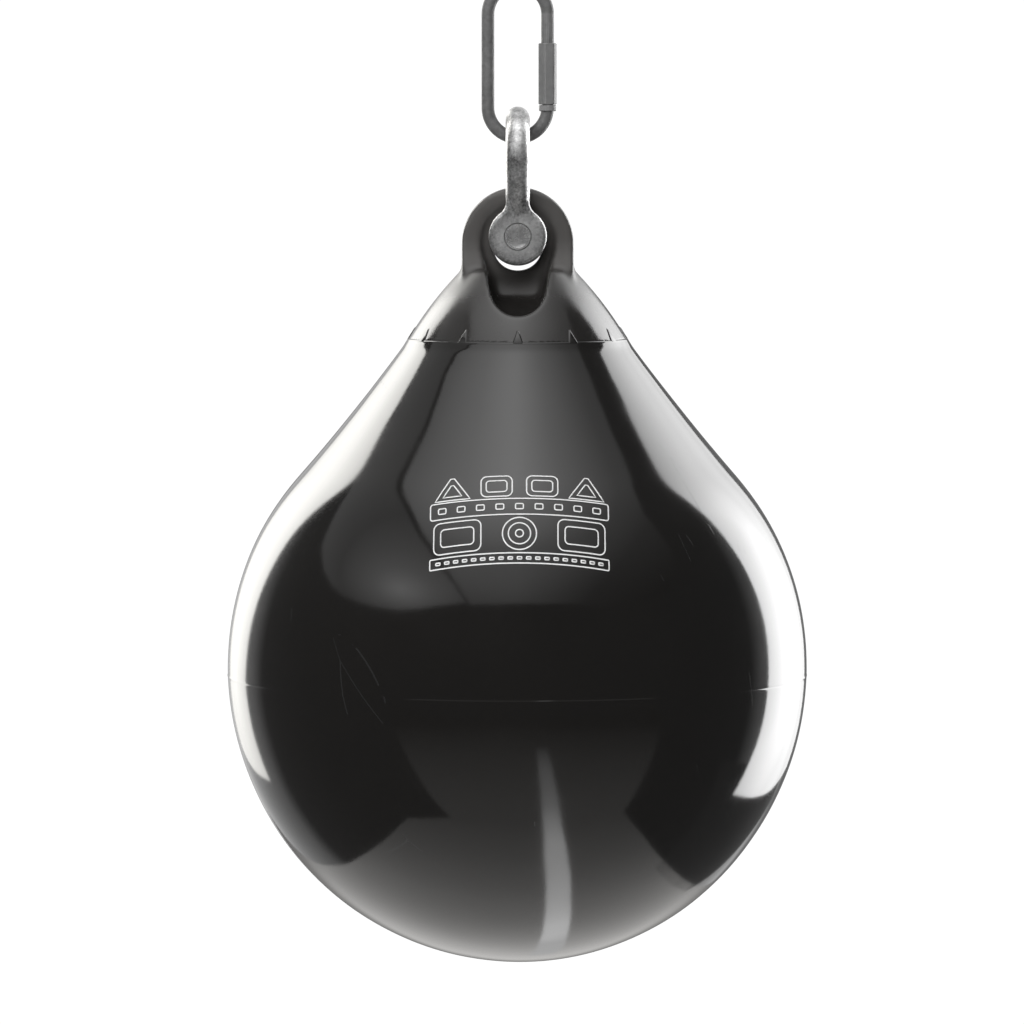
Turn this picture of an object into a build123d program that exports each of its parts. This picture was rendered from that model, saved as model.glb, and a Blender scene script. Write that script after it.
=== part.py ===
"""Water-filled teardrop punching bag, hung by its moulded eye from a bow shackle and an oval quick link.

The row frame is in millimetres with +Z up. The origin is the hanging point: the lowest point of the inner
face of the quick link's top bend, where a hook or a chain link bears. The quick link lies in the XZ plane,
the shackle in the YZ plane, and the bag hangs straight down on the Z axis. The fill valve is at the back,
on the +Y side.
"""

from build123d import *
from math import atan2, cos, degrees, hypot, radians, sin, tan
import os

os.makedirs("parts", exist_ok=True)

# ---------------------------------------------------------------- driving dimensions
BAG_RADIUS = 228.5  # an 18 inch bag
BAG_DEPTH = 234.0  # from the widest section down to the bottom
EQUATOR_Z = -531.0  # height of the widest section
SKIN = 5.0  # wall of the moulded vinyl skin
LAP_RADIUS = 86.5  # where the skin's upper edge meets the eye cap
LAP_Z = -274.0
FLANK_START = 41.0  # degrees above the widest section where the flank leaves the sphere
CLEAR = 0.3  # air between bodies that bear on each other

LINK_BAR = 10.0  # quick link's bar diameter
LINK_WIDTH = 56.8  # overall
LINK_LENGTH = 130.0  # overall
NUT_LENGTH = 48.0
NUT_FLATS = 13.2  # across flats
NUT_BORE = LINK_BAR / 2 + 0.08  # running fit on the bar
NUT_TRAVEL = 22.0  # up the limb, until the gate is clear
GATE_GAP = 13.0  # between the two threaded ends
LOWER_THREAD = 9.0  # thread engaged below the gate
STOP_RADIUS = 6.8  # collar that the nut closes against
STOP_THICK = 5.0
THREAD_PITCH = 1.5
THREAD_DEPTH = 0.8

SHACKLE_BAR = 19.0  # a 3/4 inch bow shackle
PIN_RADIUS = 10.5
EAR_HOLE = 10.9
EAR_RADIUS = 22.8
EAR_THICK = 19.4
JAW = 32.0  # gap between the ears
BOW_HALF = 34.5  # bow centreline, half its widest spread
PIN_TO_CROWN = 82.3  # pin axis to the crown's underside
COLLAR_RADIUS = 16.0
COLLAR_THICK = 6.0
HANDLE_REACH = 28.0
HANDLE_THICK = 12.0
HANDLE_HOLE = 5.5  # mousing hole

EYE_RADIUS = 19.3  # hole in the eye cap
LUG_RADIUS = 43.9
LUG_TOP_HALF = 13.5  # half thickness of the lug at its crown
LUG_PIN_HALF = 16.0  # the same at the pin's height
LUG_FLARE = 60.0  # radius of the sweep from there down to the shoulder
WEB_HALF = 11.0  # half thickness of the web around the eye
BOWL_RADIUS = 29.0  # recess that the shackle's ear turns in
TROUGH_RADIUS = 20.5  # the recess's narrower round foot
TROUGH_Z = -230.0  # centre of that foot
RECESS_DRAFT = 2.0
CAP_CEILING = -266.0  # underside of the solid cap
SKIRT = 6.0  # wall of the cap's skirt inside the skin
SKIRT_END = -304.0
TOOTH_COUNT = 12
TOOTH_HEIGHT = 13.0
TOOTH_BASE = 11.0
TOOTH_SINK = 2.0
TOOTH_LEAN = 31.8  # slope of the cap's shoulder at the lap, in degrees from upright
TOOTH_PROUD = 0.8

VALVE_Z = -328.0  # height of the valve on the back flank
VALVE_HOLE = 13.0
VALVE_FLANGE = 22.0
FLANGE_PROUD = 3.0
VALVE_INSIDE = 15.0  # how far the seat reaches into the bag
PLUG_THREAD = 8.5
PLUG_FLANGE = 13.5
PLUG_HEAD_THICK = 4.0
PLUG_LENGTH = 13.0
PLUG_TRAVEL = 20.0
SEAL_SECTION = 1.5  # radius of the O-ring's section

# ---------------------------------------------------------------- worked-out places
LINK_X = (LINK_WIDTH - LINK_BAR) / 2  # limb centreline, and the bends' radius
LINK_TOP = LINK_BAR / 2 - LINK_X  # centre of the top bend
LINK_BOTTOM = LINK_TOP - (LINK_LENGTH - LINK_WIDTH)  # centre of the bottom bend
LINK_WIRE_Z = LINK_BOTTOM - LINK_X  # bar centre at the lowest point
STOP_Z = LINK_BOTTOM + 2.2  # top of the stop collar
NUT_FOOT = STOP_Z + CLEAR
CROWN_UNDER = LINK_WIRE_Z + LINK_BAR / 2 + CLEAR
PIN_Z = CROWN_UNDER - PIN_TO_CROWN
EYE_Z = PIN_Z + PIN_RADIUS + CLEAR - EYE_RADIUS
LUG_Z = PIN_Z - 5.9  # centre of the lug's round top
LUG_TOP = LUG_Z + LUG_RADIUS
EAR_Y = (JAW + EAR_THICK) / 2  # centre plane of an ear


def rz(*points):
    """A closed face in the XZ half plane from straight runs between (radius, height) points."""
    return Plane.XZ * make_face(Polyline(*points, close=True))


def turned(face):
    """The solid that the face sweeps round the Z axis."""
    return revolve(face, Axis.Z)


def arc(centre, radius, start, end):
    """The arc of a circle in the XZ plane from angle start to angle end, in degrees."""
    at = [
        (centre[0] + radius * cos(radians(a)), centre[1] + radius * sin(radians(a)))
        for a in (start, (start + end) / 2, end)
    ]
    return ThreePointArc(*at)


# ---------------------------------------------------------------- the bag's outline
def flank():
    """Centre and radius of the hollow flank: tangent to the sphere, and through the lap's edge."""
    ux, uz = cos(radians(FLANK_START)), sin(radians(FLANK_START))
    px, pz = LAP_RADIUS, LAP_Z - EQUATOR_Z
    along = px * ux + pz * uz
    radius = (px**2 + pz**2 - 2 * BAG_RADIUS * along + BAG_RADIUS**2) / (2 * (along - BAG_RADIUS))
    reach = BAG_RADIUS + radius
    return (reach * ux, EQUATOR_Z + reach * uz), radius


FLANK_CENTRE, FLANK_RADIUS = flank()


def flank_radius(z, inset=0.0):
    """Radius of the flank at height z, inset mm inside the outer surface."""
    rise = z - FLANK_CENTRE[1]
    return FLANK_CENTRE[0] - ((FLANK_RADIUS + inset) ** 2 - rise**2) ** 0.5


def bag_outline(inset, top):
    """The bag's profile from its lowest point up to height top, as joined curves."""
    r, d = BAG_RADIUS - inset, BAG_DEPTH - inset
    pull = 0.5523  # handle length that makes a Bezier curve a quarter of an ellipse
    low = Bezier(
        (0, EQUATOR_Z - d), (pull * r, EQUATOR_Z - d), (r, EQUATOR_Z - pull * d), (r, EQUATOR_Z)
    )
    ball = arc((0, EQUATOR_Z), r, 0, FLANK_START)
    start = FLANK_START + 180
    side = flank_radius(top, inset) - FLANK_CENTRE[0]
    end = degrees(atan2(top - FLANK_CENTRE[1], side)) % 360
    return low + ball + arc(FLANK_CENTRE, FLANK_RADIUS + inset, start, end)


def bag_volume(inset, top):
    """The solid inside the bag's surface, inset mm in from it and cut level at height top."""
    edge = flank_radius(top, inset)
    closing = Polyline((edge, top), (0, top), (0, EQUATOR_Z - BAG_DEPTH + inset))
    return turned(Plane.XZ * make_face(bag_outline(inset, top) + closing))


def flank_arc(inset, high, low):
    """The stretch of the flank's curve between two heights, inset mm inside the outer surface."""
    heights = (high, (high + low) / 2, low)
    return ThreePointArc(*[(flank_radius(z, inset), z) for z in heights])


# ---------------------------------------------------------------- quick link
def threaded_end(low, high):
    """A threaded stub of the link on the X = LINK_X limb: a bar with one ridge for each turn."""
    core = LINK_BAR / 2 - THREAD_DEPTH
    turns = int((high - low) / THREAD_PITCH)
    points = [(0, low), (core, low)]
    for i in range(turns):
        foot = low + i * THREAD_PITCH
        points += [(LINK_BAR / 2, foot + THREAD_PITCH / 2), (core, foot + THREAD_PITCH)]
    points += [(core, high), (0, high)]
    return Pos(LINK_X, 0, 0) * turned(rz(*points))


def make_link_bar():
    """The bent bar with its two threaded ends and the stop collar below the gate."""
    lower_end = NUT_FOOT + LOWER_THREAD
    upper_end = lower_end + GATE_GAP
    upper_thread = NUT_FOOT + NUT_LENGTH
    path = (
        Line((LINK_X, upper_thread), (LINK_X, LINK_TOP))
        + arc((0, LINK_TOP), LINK_X, 0, 180)
        + Line((-LINK_X, LINK_TOP), (-LINK_X, LINK_BOTTOM))
        + arc((0, LINK_BOTTOM), LINK_X, 180, 360)
        + Line((LINK_X, LINK_BOTTOM), (LINK_X, STOP_Z))
    )
    section = Plane((LINK_X, 0, upper_thread), z_dir=(0, 0, 1)) * Circle(LINK_BAR / 2)
    bar = sweep(section, path=Plane.XZ * path)
    collar = Cylinder(STOP_RADIUS, STOP_THICK, align=(Align.CENTER, Align.CENTER, Align.MAX))
    collar = Pos(LINK_X, 0, STOP_Z) * chamfer(collar.edges(), 0.7)
    bar += threaded_end(upper_end, upper_thread) + threaded_end(STOP_Z, lower_end) + collar
    return bar.solid()


def make_link_nut():
    """The long six-sided nut that closes the gate, with its corners turned down at both ends."""
    hexagon = RegularPolygon(NUT_FLATS / 2, 6, major_radius=False, rotation=12)
    prism = extrude(hexagon, NUT_LENGTH)
    turned_down = chamfer(
        Cylinder(NUT_FLATS * 0.545, NUT_LENGTH, align=(Align.CENTER, Align.CENTER, Align.MIN)).edges(), 0.7
    )
    bore = Cylinder(NUT_BORE, NUT_LENGTH, align=(Align.CENTER, Align.CENTER, Align.MIN))
    return Pos(LINK_X, 0, NUT_FOOT) * ((prism & turned_down) - bore)


# ---------------------------------------------------------------- bow shackle
def make_shackle_bow():
    """The forged bow: round bar from ear to ear, and two flat round ears with the pin's holes."""
    crown = CROWN_UNDER + SHACKLE_BAR / 2
    bow_z = crown - BOW_HALF  # centre of the round crown
    neck_z = PIN_Z + 12.0
    path = (
        Line((EAR_Y, PIN_Z), (EAR_Y, neck_z))
        + Spline((EAR_Y, neck_z), (BOW_HALF, bow_z), tangents=[(0, 1), (0, 1)])
        + arc((0, bow_z), BOW_HALF, 0, 180)
        + Spline((-BOW_HALF, bow_z), (-EAR_Y, neck_z), tangents=[(0, -1), (0, -1)])
        + Line((-EAR_Y, neck_z), (-EAR_Y, PIN_Z))
    )
    section = Plane((0, EAR_Y, PIN_Z), z_dir=(0, 0, 1)) * Circle(SHACKLE_BAR / 2)
    bow = sweep(section, path=Plane.YZ * path)
    for side in (-1, 1):
        bow += make_ear(side)
    hole = Pos(0, 0, PIN_Z) * Rot(90, 0, 0) * Cylinder(EAR_HOLE, 2 * (EAR_Y + EAR_THICK))
    return (bow - hole).solid()


def make_ear(side):
    """One ear: a disc that necks into the leg above it, soft-edged as a forging is."""
    neck = 12.0  # radius of the hollow between the disc and the leg
    half = SHACKLE_BAR / 2 - 0.4
    offset = half + neck  # the hollow's centre stands this far from the leg's middle
    lift = ((EAR_RADIUS + neck) ** 2 - offset**2) ** 0.5
    disc = Circle(EAR_RADIUS)
    reach = EAR_RADIUS / (EAR_RADIUS + neck)
    web = make_face(
        Polyline((0, 0), (offset * reach, lift * reach))
        + ThreePointArc(
            (offset * reach, lift * reach),
            (
                offset - neck * cos(atan2(lift, offset) / 2),
                lift - neck * sin(atan2(lift, offset) / 2),
            ),
            (half, lift),
        )
        + Polyline((half, lift), (0, lift), (0, 0))
    )
    outline = disc + web + mirror(web, Plane.YZ)
    plate = extrude(Plane.XZ * outline, EAR_THICK / 2, both=True)
    rim = plate.edges().filter_by(lambda e: abs(abs(e.center().Y) - EAR_THICK / 2) < 0.01)
    rim = rim.filter_by(lambda e: e.center().Z < lift - 1)
    return Pos(0, side * EAR_Y, PIN_Z) * fillet(rim, 3.5)


def make_shackle_pin():
    """The screw pin: shank, collar, and a flat handle with a mousing hole; its tip is dished."""
    tip = -(EAR_Y + EAR_THICK / 2) + 0.5
    collar = EAR_Y + EAR_THICK / 2 + CLEAR
    shank = Pos(0, tip, 0) * Rot(-90, 0, 0) * Cylinder(
        PIN_RADIUS, collar - tip, align=(Align.CENTER, Align.CENTER, Align.MIN)
    )
    shank = chamfer(shank.edges().sort_by(Axis.Y)[0], 1.0)
    dish_radius = 28.0
    shank -= Pos(0, tip - dish_radius + 1.4, 0) * Sphere(dish_radius)
    ring = Pos(0, collar, 0) * Rot(-90, 0, 0) * Cylinder(
        COLLAR_RADIUS, COLLAR_THICK, align=(Align.CENTER, Align.CENTER, Align.MIN)
    )
    ring = fillet(ring.edges().filter_by(GeomType.CIRCLE), 1.6)
    end = collar + COLLAR_THICK
    eye = end + HANDLE_REACH - 13.0
    blade = Circle(13.0) + Pos(0, -(eye - end) / 2 - 1) * Rectangle(20.0, eye - end + 2)
    handle = extrude(blade, HANDLE_THICK / 2, both=True)
    faces = handle.edges().filter_by(lambda e: abs(abs(e.center().Z) - HANDLE_THICK / 2) < 0.01)
    handle = fillet(faces, 2.0)
    handle = Pos(0, eye, 0) * handle
    handle -= Pos(0, eye, 0) * Cylinder(HANDLE_HOLE, HANDLE_THICK + 2)
    return Pos(0, 0, PIN_Z) * (shank + ring + handle)


# ---------------------------------------------------------------- moulded eye cap
def make_lug():
    """The flat eye standing on the cap: a round-topped outline that sweeps out into the shoulder."""
    low = LAP_Z + 10.0
    outline = Circle(LUG_RADIUS) + Pos(0, (low - LUG_Z) / 2) * Rectangle(2 * LUG_RADIUS, LUG_Z - low)
    slab = extrude(Plane.XZ * (Pos(0, LUG_Z) * outline), 90, both=True)
    lean = atan2(LUG_PIN_HALF - LUG_TOP_HALF, LUG_TOP - PIN_Z)
    sweep_points = []
    for turn in (lean, radians(22), radians(50)):
        out = LUG_PIN_HALF + LUG_FLARE * (cos(lean) - cos(turn))
        sweep_points.append((out, PIN_Z - LUG_FLARE * (sin(turn) - sin(lean))))
    flare = ThreePointArc(*sweep_points)
    foot = sweep_points[-1]
    side = (
        Line((LUG_TOP_HALF, LUG_TOP), (LUG_PIN_HALF, PIN_Z))
        + flare
        + Polyline(foot, (foot[0] + 10, low), (0, low), (0, LUG_TOP), (LUG_TOP_HALF, LUG_TOP))
    )
    half = extrude(Plane.YZ * make_face(side), 60, both=True)
    return slab & (half + mirror(half, Plane.XZ))


def make_cap_body():
    """The cap's shoulder and its skirt inside the skin: a turned solid with a level ceiling."""
    neck_radius, neck_z = 44.0, -218.5
    chord = hypot(LAP_RADIUS - neck_radius, LAP_Z - neck_z)
    bulge = chord**2 / (8 * 286.0)  # the shoulder is an arc of 286 mm radius
    slope = atan2(LAP_Z - neck_z, LAP_RADIUS - neck_radius)
    middle = (
        (LAP_RADIUS + neck_radius) / 2 - bulge * sin(slope),
        (LAP_Z + neck_z) / 2 + bulge * cos(slope),
    )
    shoulder_foot = CAP_CEILING - 8.0  # where the ceiling's sloping edge meets the skirt
    inset = SKIN + SKIRT
    foot = flank_radius(SKIRT_END, SKIN)
    inner = flank_radius(SKIRT_END, inset)
    ceiling = flank_radius(shoulder_foot, inset)
    edges = (
        Line((0, neck_z), (neck_radius, neck_z))
        + ThreePointArc((neck_radius, neck_z), middle, (LAP_RADIUS, LAP_Z))
        + Line((LAP_RADIUS, LAP_Z), (flank_radius(LAP_Z, SKIN), LAP_Z))
        + flank_arc(SKIN, LAP_Z, SKIRT_END)
        + Line((foot, SKIRT_END), (inner, SKIRT_END))
        + flank_arc(inset, shoulder_foot, SKIRT_END)
        + Polyline((ceiling, shoulder_foot), (ceiling - 10.0, CAP_CEILING), (0, CAP_CEILING), (0, neck_z))
    )
    return turned(Plane.XZ * make_face(edges))


def recess(side):
    """What is hollowed out of one face of the lug: a round bowl for the ear, running down into a trough."""
    bowl = Pos(0, PIN_Z - 3.5) * Circle(BOWL_RADIUS)
    trough = Pos(0, TROUGH_Z) * Circle(TROUGH_RADIUS)
    outline = make_hull([*bowl.edges(), *trough.edges()])
    prism = extrude(Plane.XZ * outline, 80, taper=-RECESS_DRAFT)
    if side > 0:
        prism = mirror(prism, Plane.XZ)
    prism = Pos(0, side * WEB_HALF, 0) * prism
    profile = Polyline(
        (side * WEB_HALF, PIN_Z + 50),
        (side * WEB_HALF, PIN_Z - 25),
        (side * 22.0, PIN_Z - 49),
        (side * 90.0, PIN_Z - 67),
        (side * 90.0, PIN_Z + 50),
        close=True,
    )
    return prism & extrude(Plane.YZ * make_face(profile), 60, both=True)


def tooth(index, sink, proud):
    """One pointed key of the skin's edge: it lies sink mm into the cap and stands proud mm out of it."""
    flat = Polyline((-TOOTH_BASE / 2, -1.0), (TOOTH_BASE / 2, -1.0), (0, TOOTH_HEIGHT), close=True)
    place = Rot(0, 0, 30.0 * index - 90) * Pos(LAP_RADIUS, 0, LAP_Z) * Rot(0, -TOOTH_LEAN, 0)
    wedge = extrude(Plane.YZ * make_face(flat), sink + proud)
    return place * Pos(-sink, 0, 0) * wedge


def make_eye_cap():
    """The solid eye cap, with pockets for the skin's keys."""
    cap = make_cap_body() + make_lug()
    cap -= recess(-1)
    cap -= recess(1)
    cap -= Pos(0, 0, EYE_Z) * Rot(90, 0, 0) * Cylinder(EYE_RADIUS, 60)
    for i in range(TOOTH_COUNT):
        cap -= tooth(i, TOOTH_SINK, 4.0)
    return cap.solid()


# ---------------------------------------------------------------- fill valve
def valve_frame():
    """The valve's own plane: on the back flank, with its Z axis along the outward normal."""
    radius = flank_radius(VALVE_Z)
    away = Vector(0, FLANK_CENTRE[0] - radius, FLANK_CENTRE[1] - VALVE_Z).normalized()
    return Plane((0, radius, VALVE_Z), x_dir=(1, 0, 0), z_dir=away)


def make_valve_seat(frame, outside):
    """The seat bush: a barrel through the skin, a flange lying on it, and the plug's bore."""
    barrel = Pos(0, 0, -VALVE_INSIDE) * Cylinder(
        VALVE_HOLE, VALVE_INSIDE + FLANGE_PROUD, align=(Align.CENTER, Align.CENTER, Align.MIN)
    )
    flange = Pos(0, 0, -2.0) * Cylinder(
        VALVE_FLANGE, FLANGE_PROUD + 2.0, align=(Align.CENTER, Align.CENTER, Align.MIN)
    )
    flange = fillet(flange.edges().sort_by(Axis.Z)[-1], 1.5)
    bore = Pos(0, 0, -VALVE_INSIDE - 1) * Cylinder(
        PLUG_THREAD + 0.08, VALVE_INSIDE + FLANGE_PROUD + 2, align=(Align.CENTER, Align.CENTER, Align.MIN)
    )
    groove = Pos(0, 0, FLANGE_PROUD - 1.5) * Cylinder(
        PLUG_THREAD + 2 * SEAL_SECTION + 0.4, 2.0, align=(Align.CENTER, Align.CENTER, Align.MIN)
    )
    flange = frame * flange - outside
    barrel = frame * barrel
    return (flange + barrel) - frame * (bore + groove)


def make_valve_plug():
    """The slotted screw plug that closes the seat."""
    under = FLANGE_PROUD + SEAL_SECTION * 2 - 1.2  # the head sits on the seal
    head = Pos(0, 0, under) * Cylinder(
        PLUG_FLANGE, PLUG_HEAD_THICK, align=(Align.CENTER, Align.CENTER, Align.MIN)
    )
    head = fillet(head.edges().sort_by(Axis.Z)[-1], 1.6)
    head -= Pos(0, 0, under + PLUG_HEAD_THICK) * Box(2 * PLUG_FLANGE - 5, 3.0, 4.4)
    low = under - PLUG_LENGTH
    core = PLUG_THREAD - 1.0
    points = [(0, low), (core - 1, low)]
    for i in range(4):
        foot = low + 0.5 + i * 2.5
        points += [(core, foot), (PLUG_THREAD, foot + 0.9), (PLUG_THREAD, foot + 1.3), (core, foot + 2.2)]
    points += [(core, under), (0, under)]
    return head + turned(rz(*points))


def make_valve_seal():
    """The O-ring under the plug's head."""
    centre = FLANGE_PROUD - 1.2 + SEAL_SECTION
    return Pos(0, 0, centre) * Torus(PLUG_THREAD + SEAL_SECTION + 0.1, SEAL_SECTION)


# ---------------------------------------------------------------- skin and water
def make_skin(frame):
    """The rotationally moulded skin, with its keys at the top and the valve's hole at the back."""
    rim = Line((flank_radius(LAP_Z), LAP_Z), (flank_radius(LAP_Z, SKIN), LAP_Z))
    low = EQUATOR_Z - BAG_DEPTH
    bottom = Line((0, low), (0, low + SKIN))
    wall = bag_outline(0.0, LAP_Z) + rim + bag_outline(SKIN, LAP_Z) + bottom
    skin = turned(Plane.XZ * make_face(wall))
    for i in range(TOOTH_COUNT):
        skin += tooth(i, TOOTH_SINK - 0.05, TOOTH_PROUD)
    hole = frame * Pos(0, 0, -30) * Cylinder(
        VALVE_HOLE, 60, align=(Align.CENTER, Align.CENTER, Align.MIN)
    )
    return (skin - hole).solid()


def make_water(frame):
    """The water, filling the skin up to the cap's ceiling, clear of the skirt and the valve."""
    wall, inset = SKIN + CLEAR, SKIN + SKIRT + CLEAR
    low = SKIRT_END - CLEAR
    high = CAP_CEILING - 8.0 - CLEAR
    narrow = flank_radius(high, inset)
    edges = (
        bag_outline(wall, low)
        + Line((flank_radius(low, wall), low), (flank_radius(low, inset), low))
        + flank_arc(inset, high, low)
        + Polyline(
            (narrow, high), (narrow - 9.9, high + 7.9), (0, high + 7.9), (0, EQUATOR_Z - BAG_DEPTH + wall)
        )
    )
    water = turned(Plane.XZ * make_face(edges))
    seat = frame * Pos(0, 0, -VALVE_INSIDE - 1) * Cylinder(
        VALVE_HOLE + CLEAR, 60, align=(Align.CENTER, Align.CENTER, Align.MIN)
    )
    return (water - seat).solid()


# ---------------------------------------------------------------- build and write
frame = valve_frame()
parts = {
    "link_bar": make_link_bar(),
    "link_nut": make_link_nut(),
    "shackle_bow": make_shackle_bow(),
    "shackle_pin": make_shackle_pin(),
    "eye_cap": make_eye_cap(),
    "bag_skin": make_skin(frame),
    "valve_seat": make_valve_seat(frame, bag_volume(0.0, LAP_Z)),
    "valve_plug": frame * make_valve_plug(),
    "valve_seal": frame * make_valve_seal(),
    "water_fill": make_water(frame),
}
for name, part in parts.items():
    export_step(part, f"parts/{name}.step")
    print(name, "volume", round(part.volume), "solids", len(part.solids()))
print("pin height", PIN_Z, "eye height", EYE_Z, "nut foot", NUT_FOOT, "valve at", frame.origin, frame.z_dir)
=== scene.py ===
# %% [markdown]
# # A water-filled punching bag
# This lesson finishes a heavy punching bag: a teardrop of thick, glossy black vinyl, filled with water. It
# hangs by a moulded eye from a forged shackle and a screw link. The engineering model comes in first, as a
# fixed frame. Each piece below is either made new around that frame, because moulded vinyl has soft edges
# that a plain solid lacks, or kept from it and given a better material, because forged metal has them
# already.

import math

import bmesh
import bpy
import numpy as np
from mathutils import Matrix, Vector


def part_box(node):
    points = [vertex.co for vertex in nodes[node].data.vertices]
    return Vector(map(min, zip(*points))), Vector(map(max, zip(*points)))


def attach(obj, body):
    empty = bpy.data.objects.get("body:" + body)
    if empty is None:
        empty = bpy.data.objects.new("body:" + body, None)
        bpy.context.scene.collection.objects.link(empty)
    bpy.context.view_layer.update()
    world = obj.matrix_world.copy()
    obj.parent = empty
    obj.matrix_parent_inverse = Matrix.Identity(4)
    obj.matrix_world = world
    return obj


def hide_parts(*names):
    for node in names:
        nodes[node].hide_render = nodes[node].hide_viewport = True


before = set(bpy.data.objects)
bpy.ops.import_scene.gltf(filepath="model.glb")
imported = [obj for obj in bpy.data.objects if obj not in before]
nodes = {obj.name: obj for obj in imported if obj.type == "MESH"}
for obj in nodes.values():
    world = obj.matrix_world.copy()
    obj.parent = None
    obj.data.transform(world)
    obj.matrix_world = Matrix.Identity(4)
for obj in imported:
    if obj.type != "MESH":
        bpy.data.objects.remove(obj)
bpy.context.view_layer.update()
print("nodes:", sorted(nodes))

# %% [markdown]
# ## Places taken from the frame
# The bag is a turned shape about the Z axis. Its lowest point and its widest radius are read from the node's
# box. The heights of the widest part and of the skin's edge, which no box gives, are the frame's own. The
# flank between the ball and the cap is slightly hollow, drawn as an arc that is tangent to the ball, so the
# same construction is repeated here. The height of the shackle's pin, which the bag swings on, is printed
# for orientation.

# %% Read the places
MM = 0.001
skin_low, skin_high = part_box("bag_skin")
BAG_RADIUS = skin_high.x
BAG_LOW = skin_low.z
EQUATOR_Z = -531.0 * MM
LAP_Z = -274.0 * MM
LAP_RADIUS = 86.5 * MM
SKIN_WALL = 5.0 * MM
FLANK_START = math.radians(41.0)
PIN_Z = (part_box("shackle_pin")[0].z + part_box("shackle_pin")[1].z) / 2
print("bag radius", round(BAG_RADIUS, 4), "lowest", round(BAG_LOW, 4), "pin height", round(PIN_Z, 4))


def hollow_flank():
    """Centre height, centre radius and radius of the arc between the ball and the cap."""
    ux, uz = math.cos(FLANK_START), math.sin(FLANK_START)
    px, pz = LAP_RADIUS, LAP_Z - EQUATOR_Z
    along = px * ux + pz * uz
    radius = (px**2 + pz**2 - 2 * BAG_RADIUS * along + BAG_RADIUS**2) / (2 * (along - BAG_RADIUS))
    reach = BAG_RADIUS + radius
    return EQUATOR_Z + reach * uz, reach * ux, radius


FLANK_Z, FLANK_X, FLANK_R = hollow_flank()
BALL_TOP_Z = EQUATOR_Z + BAG_RADIUS * math.sin(FLANK_START)


def bag_radius(z, inset=0.0):
    """Radius of the bag at height z, inset inside the outer surface."""
    if z > BALL_TOP_Z:
        return FLANK_X - math.sqrt((FLANK_R + inset) ** 2 - (z - FLANK_Z) ** 2)
    ball = BAG_RADIUS - inset
    depth = ball if z > EQUATOR_Z else EQUATOR_Z - BAG_LOW - inset
    return ball * math.sqrt(max(0.0, 1 - ((z - EQUATOR_Z) / depth) ** 2))


print("flank radius", round(FLANK_R, 3), "skin at the lap", round(bag_radius(LAP_Z), 4))

# %% [markdown]
# ## The studio
# The bag hangs in a white studio. A glossy black surface has almost no colour of its own: what we see is the
# room. So the bright sheets below are placed for their reflections. Two soft panels overhead, with a narrow
# gap between them, grey the shoulders. Two tall white walls stand behind at the left and right and run a
# white band down each side. White paper on the floor shows along the belly, as a sheet whose glow is a
# painted pool of light. The room in front is dim.
#
# The camera stands 5.5 m away at the height of the link, and looks slightly down.

# %% Camera
CAMERA_BACK = 5.5
CAMERA_Z = -0.055
FRAME_WIDTH = 0.8072  # metres across the view at the bag's axis
SENSOR = 36.0
LOOK_AT = Vector((-0.0045, 0.0, -0.4098))

camera_data = bpy.data.cameras.new("camera")
camera = bpy.data.objects.new("camera", camera_data)
bpy.context.collection.objects.link(camera)
camera.location = (LOOK_AT.x, -CAMERA_BACK, CAMERA_Z)
away = LOOK_AT - camera.location
camera.rotation_euler = away.to_track_quat("-Z", "Y").to_euler()
camera_data.sensor_width = SENSOR
camera_data.lens = SENSOR * away.length / FRAME_WIDTH
camera_data.clip_end = 100.0
bpy.context.scene.camera = camera
print("lens", round(camera_data.lens, 1), "mm")

# %% [markdown]
# A colour helper comes next, because paint is easier to name by the value one sees on a screen than by the
# linear value that the renderer wants. Then a few helpers that add a node and wire it in one line.


# %% Node helpers
def grey(value, tint=(1.0, 1.0, 1.0)):
    """A linear colour from a screen grey between 0 and 255, with an optional tint."""
    linear = (value / 255) ** 2.2
    return (linear * tint[0], linear * tint[1], linear * tint[2], 1.0)


def put(tree, kind, inputs=None, **settings):
    """Adds a node. Its inputs are values, or sockets to wire from; settings are its own properties."""
    node = tree.nodes.new(kind)
    for name, value in settings.items():
        setattr(node, name, value)
    for name, value in (inputs or {}).items():
        if isinstance(value, bpy.types.NodeSocket):
            tree.links.new(value, node.inputs[name])
        else:
            node.inputs[name].default_value = value
    return node


def math_node(tree, operation, a, b=0.5, clamp=False):
    """One step of arithmetic on two values or sockets."""
    return put(tree, "ShaderNodeMath", {0: a, 1: b}, operation=operation, use_clamp=clamp).outputs[0]


def ramp(tree, value, stops):
    """A colour ramp from (place, grey level) stops, returned as a value."""
    node = put(tree, "ShaderNodeValToRGB", {"Fac": value})
    band = node.color_ramp
    while len(band.elements) < len(stops):
        band.elements.new(0.5)
    for element, (place, level) in zip(band.elements, stops):
        element.position = place
        element.color = (level, level, level, 1.0)
    return node.outputs["Color"]


# %% [markdown]
# The world is the studio's far walls. Seen directly it is plain white. In reflections and as light it is
# white only behind the bag, with a narrow greyer part straight behind, which is what draws the fine grey
# outline round a glossy thing on a white ground.

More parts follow.
